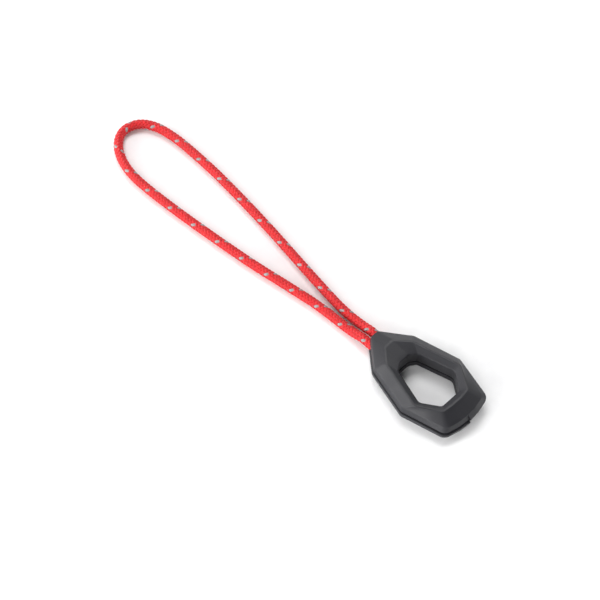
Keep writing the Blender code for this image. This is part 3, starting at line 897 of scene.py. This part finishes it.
def add_cord(settings):
    """The braided cord in one piece, from one end in the stopper round the loop to the other."""
    path = cord_path()
    length = float(np.linalg.norm(np.diff(path, axis=0), axis=1).sum())
    line = bpy.data.curves.new("cord_line", "CURVE")
    line.dimensions = "3D"
    line.twist_mode = "MINIMUM"
    spline = line.splines.new("POLY")
    spline.points.add(len(path) - 1)
    spline.points.foreach_set("co", np.column_stack([path, np.ones(len(path))]).ravel())
    guide = link_object("cord_line", line)

    modifier = guide.modifiers.new("braid", "NODES")
    modifier.node_group = braid_tree()
    crossing = (settings.lay + settings.end_lay) / 2 / (2 * settings.yarns_each_way)
    outer_half = settings.weave_depth + settings.yarn_thickness / 2
    yarn = filament_yarn("dyed_polyester_yarn", settings.colour, "AE0C12", 0.6, 0.25)
    tracer = filament_yarn("reflective_tracer_yarn", settings.tracer_colour, "7C7878", 0.35, 0.1)
    # The core's red is darker than the yarn's: painted shade, seen in the gaps between the yarns.
    core = filament_yarn("cord_core_painted_shade", "B0151B", "8E1016", 0.8, 0.0)
    set_inputs(modifier, {
        "Yarns Each Way": settings.yarns_each_way,
        "Lay": settings.lay,
        "End Lay": settings.end_lay,
        "Start Turns": settings.start_turns,
        "Yarn Circle Radius": settings.diameter / 2 - outer_half,
        "Weave Depth": settings.weave_depth,
        "Yarn Width": settings.yarn_width,
        "Yarn Thickness": settings.yarn_thickness,
        "Points Per Yarn": round(length / crossing * settings.steps_per_crossing),
        "Core Radius": settings.diameter / 2 - 2 * outer_half,
        "Turn": settings.turn,
        "Tracer": settings.tracer,
        "Yarn Material": yarn,
        "Tracer Material": tracer,
        "Core Material": core,
    })
    cord = link_object("braided_cord", evaluated_mesh(guide, "braided_cord"))
    bpy.data.objects.remove(guide, do_unlink=True)

    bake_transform(cord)
    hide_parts("cord_tail_right", "cord_tail_left", "cord_run_right", "cord_bend", "cord_run_left")


# ---------------------------------------------------------------- stage


def add_camera(settings):
    """The camera, level, at its azimuth and elevation round the point that it looks at."""
    data = bpy.data.cameras.new("camera")
    data.sensor_width = 36.0
    data.lens = settings.lens
    data.clip_start = settings.distance / 50
    data.clip_end = settings.distance * 50
    camera = link_object("camera", data)
    back = Vector((
        math.sin(settings.azimuth) * math.cos(settings.elevation),
        -math.cos(settings.azimuth) * math.cos(settings.elevation),
        math.sin(settings.elevation)))
    camera.location = Vector(settings.aim) + back * settings.distance
    camera.rotation_euler = (-back).to_track_quat("-Z", "Y").to_euler()
    bpy.context.scene.camera = camera


def studio_paper(colour):
    """Matt white background paper, with a faint fibre mottle."""
    material, tree, output = new_material("matt_studio_paper")
    place = add_node(tree, "ShaderNodeTexCoord").outputs["Object"]
    fibre = add_node(tree, "ShaderNodeTexNoise", None, {
        "Vector": place, "Scale": 1 / 0.002, "Detail": 3.0})
    tone = add_node(tree, "ShaderNodeMix", {"data_type": "RGBA"}, {
        0: fibre.outputs["Fac"], 6: linear(colour), 7: linear("FFFFFF")})
    shader = add_node(tree, "ShaderNodeBsdfPrincipled", None, {
        "Base Color": tone.outputs[2], "Roughness": 0.9, "Specular IOR Level": 0.1})
    tree.links.new(shader.outputs["BSDF"], output.inputs["Surface"])
    return material


FLOOR_SIZE = 3.0
FLOOR_CLEARANCE = 0.00002


def add_floor(settings):
    bpy.ops.mesh.primitive_grid_add(x_subdivisions=4, y_subdivisions=4, size=FLOOR_SIZE)
    floor = bpy.context.object
    floor.name = "floor"
    floor.location.z = -FLOOR_CLEARANCE
    floor.data.materials.append(studio_paper(settings.floor_colour))


# Soft boxes round the table: name, azimuth from +X and elevation in degrees, and power in watts.
SOFT_BOXES = (
    ("front_left_low", 45, 12, 5.6), ("left_low", 90, 12, 7.0), ("front_low", 0, 12, 1.6),
    ("front_right_low", 315, 12, 1.7), ("back_low", 225, 12, 2.8), ("left_high", 135, 35, 2.6),
    ("front_left_high", 45, 35, 1.8), ("right_high", 270, 35, 1.9), ("front_top", 0, 60, 2.1),
    ("front_right_top", 315, 60, 3.8), ("left_top", 90, 60, 0.9),
)
BOX_DISTANCE = 1.0
BOX_SIZE = 0.4
BACKGROUND_LIGHT = 0.02
BACKGROUND_SEEN = 1.0


def add_lights():
    """The soft boxes, and a background that looks white but adds almost no light of its own."""
    for name, azimuth, elevation, power in SOFT_BOXES:
        data = bpy.data.lights.new(name, "AREA")
        data.shape = "SQUARE"
        data.size = BOX_SIZE
        data.energy = power
        light = link_object(name, data)
        around, above = math.radians(azimuth), math.radians(elevation)
        towards = Vector((
            math.cos(around) * math.cos(above), math.sin(around) * math.cos(above), math.sin(above)))
        light.location = towards * BOX_DISTANCE
        light.rotation_euler = (-towards).to_track_quat("-Z", "Y").to_euler()
        light.visible_camera = False
    world = bpy.data.worlds.new("studio")
    world.use_nodes = True
    tree = world.node_tree
    background = tree.nodes["Background"]
    background.inputs["Color"].default_value = linear("FFFFFF")
    seen = add_node(tree, "ShaderNodeLightPath")
    strength = add_node(tree, "ShaderNodeMapRange", None, {
        "Value": seen.outputs["Is Camera Ray"], "To Min": BACKGROUND_LIGHT, "To Max": BACKGROUND_SEEN})
    tree.links.new(strength.outputs["Result"], background.inputs["Strength"])
    bpy.context.scene.world = world
    bpy.context.scene.view_settings.view_transform = "Standard"


# ---------------------------------------------------------------- add-on


class ZIPPULL_OT_add_stage(bpy.types.Operator):
    """Add the camera, the pale floor and the soft studio light"""

    bl_idname = "zip_pull.add_stage"
    bl_label = "Studio Stage"

    def execute(self, context):
        add_camera(context.scene.zip_pull_stage)
        add_floor(context.scene.zip_pull_stage)
        add_lights()
        return {"FINISHED"}


class ZIPPULL_OT_add_cord(bpy.types.Operator):
    """Braid the cord loop round its route"""

    bl_idname = "zip_pull.add_cord"
    bl_label = "Braided Cord"

    def execute(self, context):
        add_cord(context.scene.zip_pull_cord)
        return {"FINISHED"}


class ZIPPULL_OT_add_stopper(bpy.types.Operator):
    """Add the block that the two cord ends are melted into"""

    bl_idname = "zip_pull.add_stopper"
    bl_label = "Fused Stopper"

    def execute(self, context):
        add_stopper()
        return {"FINISHED"}


class ZIPPULL_OT_add_shells(bpy.types.Operator):
    """Add the two moulded halves of the grip"""

    bl_idname = "zip_pull.add_shells"
    bl_label = "Moulded Shells"

    def execute(self, context):
        settings = context.scene.zip_pull_shells
        material = moulded_plastic(settings)
        add_upper_shell(settings, material)
        add_lower_shell(settings, material)
        return {"FINISHED"}


SETTINGS = (
    ("zip_pull_stage", StageSettings), ("zip_pull_cord", CordSettings),
    ("zip_pull_shells", ShellSettings),
)
OPERATORS = (
    ZIPPULL_OT_add_stage, ZIPPULL_OT_add_cord, ZIPPULL_OT_add_stopper, ZIPPULL_OT_add_shells,
)


class VIEW3D_PT_zip_pull(bpy.types.Panel):
    """Sizes of the zip pull, and a button for each of its pieces"""

    bl_label = "Zip Pull"
    bl_space_type = "VIEW_3D"
    bl_region_type = "UI"
    bl_category = "Zip Pull"

    def draw(self, context):
        for operator in OPERATORS:
            self.layout.operator(operator.bl_idname)
        for name, group in SETTINGS:
            box = self.layout.box()
            for setting in group.__annotations__:
                box.prop(getattr(context.scene, name), setting)


def register():
    for name, group in SETTINGS:
        bpy.utils.register_class(group)
        setattr(bpy.types.Scene, name, PointerProperty(type=group))
    for operator in OPERATORS:
        bpy.utils.register_class(operator)
    bpy.utils.register_class(VIEW3D_PT_zip_pull)


def unregister():
    bpy.utils.unregister_class(VIEW3D_PT_zip_pull)
    for operator in reversed(OPERATORS):
        bpy.utils.unregister_class(operator)
    for name, group in reversed(SETTINGS):
        delattr(bpy.types.Scene, name)
        bpy.utils.unregister_class(group)


def main():
    register()
    bpy.ops.zip_pull.add_stage()
    bpy.ops.zip_pull.add_cord()
    bpy.ops.zip_pull.add_stopper()
    bpy.ops.zip_pull.add_shells()


if __name__ == "__main__":
    main()
